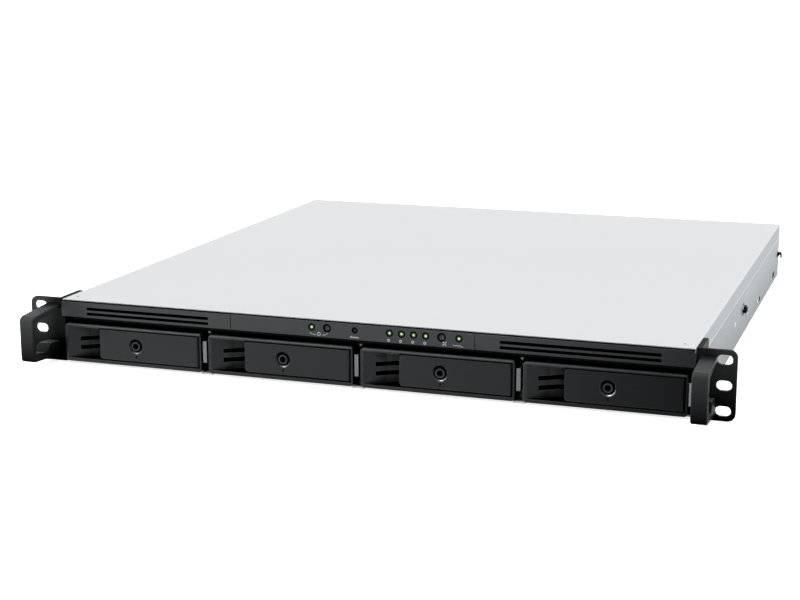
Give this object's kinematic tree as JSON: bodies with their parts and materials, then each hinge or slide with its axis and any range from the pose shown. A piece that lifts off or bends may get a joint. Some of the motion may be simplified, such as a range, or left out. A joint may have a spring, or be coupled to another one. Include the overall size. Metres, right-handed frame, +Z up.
{
  "type": "nas enclosure",
  "caption": "One-unit rack-mount network storage enclosure with lockable pull-out drive trays in a row, a vented front strip of controls, rack ears and handles.",
  "frame": {"origin": "middle of the footprint, on the plane of the underside", "axes": "+Z up through the thickness, +Y from the front towards the rear, +X to the right seen from the front"},
  "size_m": [0.48, 0.492, 0.0442],
  "materials": {
    "zinc_steel": "zinc-coated sheet steel, satin",
    "cover_paint": "fine matte powder coat, light grey",
    "black_paint": "satin black powder coat",
    "charcoal_plastic": "finely textured charcoal plastic",
    "black_plastic": "satin black plastic",
    "green_light_pipe": "clear light pipe lit yellow-green",
    "circuit_board": "green solder mask",
    "aluminium": "extruded, satin",
    "nickel": "nickel-plated sheet, satin"
  },
  "bodies": {
    "chassis": {"ac_inlet": "black_plastic", "backplane": "circuit_board", "bay_divider_1": "zinc_steel", "bay_divider_2": "zinc_steel", "bay_divider_3": "zinc_steel", "bay_guide_left": "zinc_steel", "bay_guide_right": "zinc_steel", "chassis_base": "zinc_steel", "control_panel": "charcoal_plastic", "cpu_heatsink": "aluminium", "drive_light_pipes": "green_light_pipe", "expansion_port": "nickel", "fan_1_frame": "black_plastic", "fan_2_frame": "black_plastic", "fan_3_frame": "black_plastic", "fan_wall": "zinc_steel", "front_board": "circuit_board", "front_crossbar": "black_paint", "io_shield": "nickel", "lan_ports": "nickel", "mainboard": "circuit_board", "memory_module": "circuit_board", "power_light_pipe": "green_light_pipe", "psu_base": "nickel", "psu_cover": "nickel", "psu_harness": "black_plastic", "rack_ear_left": "black_paint", "rack_ear_right": "black_paint", "rack_handle_left": "black_paint", "rack_handle_right": "black_paint", "rail_hook_left": "black_paint", "rail_hook_right": "black_paint", "rear_panel": "zinc_steel", "slot_cover": "nickel", "status_light_pipe": "green_light_pipe", "usb_ports": "nickel", "vent_bezel_left": "charcoal_plastic", "vent_bezel_right": "charcoal_plastic"},
    "top_cover": {"top_cover": "cover_paint"},
    "power_button": {"power_button": "black_plastic"},
    "beep_off_button": {"beep_off_button": "black_plastic"},
    "locate_button": {"locate_button": "black_plastic"},
    "psu_fan_rotor": {"psu_fan_rotor": "black_plastic"},
    "tray_1": {"tray_1": "charcoal_plastic"},
    "tray_1_latch": {"tray_1_latch": "charcoal_plastic"},
    "tray_1_lock": {"tray_1_lock": "black_plastic"},
    "tray_2": {"tray_2": "charcoal_plastic"},
    "tray_2_latch": {"tray_2_latch": "charcoal_plastic"},
    "tray_2_lock": {"tray_2_lock": "black_plastic"},
    "tray_3": {"tray_3": "charcoal_plastic"},
    "tray_3_latch": {"tray_3_latch": "charcoal_plastic"},
    "tray_3_lock": {"tray_3_lock": "black_plastic"},
    "tray_4": {"tray_4": "charcoal_plastic"},
    "tray_4_latch": {"tray_4_latch": "charcoal_plastic"},
    "tray_4_lock": {"tray_4_lock": "black_plastic"},
    "fan_1_rotor": {"fan_1_rotor": "black_plastic"},
    "fan_2_rotor": {"fan_2_rotor": "black_plastic"},
    "fan_3_rotor": {"fan_3_rotor": "black_plastic"}
  },
  "joints": [
    {"name": "top_cover_slide", "type": "slide", "parent": "chassis", "child": "top_cover", "axis": [0, 1, 0], "range_m": [0, 0.3]},
    {"name": "tray_1_slide", "type": "slide", "parent": "chassis", "child": "tray_1", "axis": [0, -1, 0], "range_m": [0, 0.165]},
    {"name": "tray_1_latch_swing", "type": "hinge", "parent": "tray_1", "child": "tray_1_latch", "pos_m": [-0.11355, -0.2136, 0.01515], "axis": [0, 0, 1], "range_deg": [0, 70]},
    {"name": "tray_1_lock_turn", "type": "hinge", "parent": "tray_1_latch", "child": "tray_1_lock", "pos_m": [-0.15865, -0.2149, 0.0155], "axis": [0, 1, 0], "range_deg": [0, 90]},
    {"name": "tray_2_slide", "type": "slide", "parent": "chassis", "child": "tray_2", "axis": [0, -1, 0], "range_m": [0, 0.165]},
    {"name": "tray_2_latch_swing", "type": "hinge", "parent": "tray_2", "child": "tray_2_latch", "pos_m": [-0.00625, -0.2136, 0.01515], "axis": [0, 0, 1], "range_deg": [0, 70]},
    {"name": "tray_2_lock_turn", "type": "hinge", "parent": "tray_2_latch", "child": "tray_2_lock", "pos_m": [-0.05135, -0.2149, 0.0155], "axis": [0, 1, 0], "range_deg": [0, 90]},
    {"name": "tray_3_slide", "type": "slide", "parent": "chassis", "child": "tray_3", "axis": [0, -1, 0], "range_m": [0, 0.165]},
    {"name": "tray_3_latch_swing", "type": "hinge", "parent": "tray_3", "child": "tray_3_latch", "pos_m": [0.10105, -0.2136, 0.01515], "axis": [0, 0, 1], "range_deg": [0, 70]},
    {"name": "tray_3_lock_turn", "type": "hinge", "parent": "tray_3_latch", "child": "tray_3_lock", "pos_m": [0.05595, -0.2149, 0.0155], "axis": [0, 1, 0], "range_deg": [0, 90]},
    {"name": "tray_4_slide", "type": "slide", "parent": "chassis", "child": "tray_4", "axis": [0, -1, 0], "range_m": [0, 0.165]},
    {"name": "tray_4_latch_swing", "type": "hinge", "parent": "tray_4", "child": "tray_4_latch", "pos_m": [0.20835, -0.2136, 0.01515], "axis": [0, 0, 1], "range_deg": [0, 70]},
    {"name": "tray_4_lock_turn", "type": "hinge", "parent": "tray_4_latch", "child": "tray_4_lock", "pos_m": [0.16325, -0.2149, 0.0155], "axis": [0, 1, 0], "range_deg": [0, 90]},
    {"name": "power_button_press", "type": "slide", "parent": "chassis", "child": "power_button", "axis": [0, 1, 0], "range_m": [0, 0.0012], "stiffness_N_per_m": 400},
    {"name": "beep_off_button_press", "type": "slide", "parent": "chassis", "child": "beep_off_button", "axis": [0, 1, 0], "range_m": [0, 0.0012], "stiffness_N_per_m": 400},
    {"name": "locate_button_press", "type": "slide", "parent": "chassis", "child": "locate_button", "axis": [0, 1, 0], "range_m": [0, 0.0012], "stiffness_N_per_m": 400},
    {"name": "fan_1_spin", "type": "hinge", "parent": "chassis", "child": "fan_1_rotor", "pos_m": [-0.14, -0.0166, 0.0215], "axis": [0, 1, 0], "continuous": true},
    {"name": "fan_2_spin", "type": "hinge", "parent": "chassis", "child": "fan_2_rotor", "pos_m": [0, -0.0166, 0.0215], "axis": [0, 1, 0], "continuous": true},
    {"name": "fan_3_spin", "type": "hinge", "parent": "chassis", "child": "fan_3_rotor", "pos_m": [0.14, -0.0166, 0.0215], "axis": [0, 1, 0], "continuous": true},
    {"name": "psu_fan_spin", "type": "hinge", "parent": "chassis", "child": "psu_fan_rotor", "pos_m": [0.169, 0.1005, 0.0215], "axis": [0, 1, 0], "continuous": true}
  ]
}
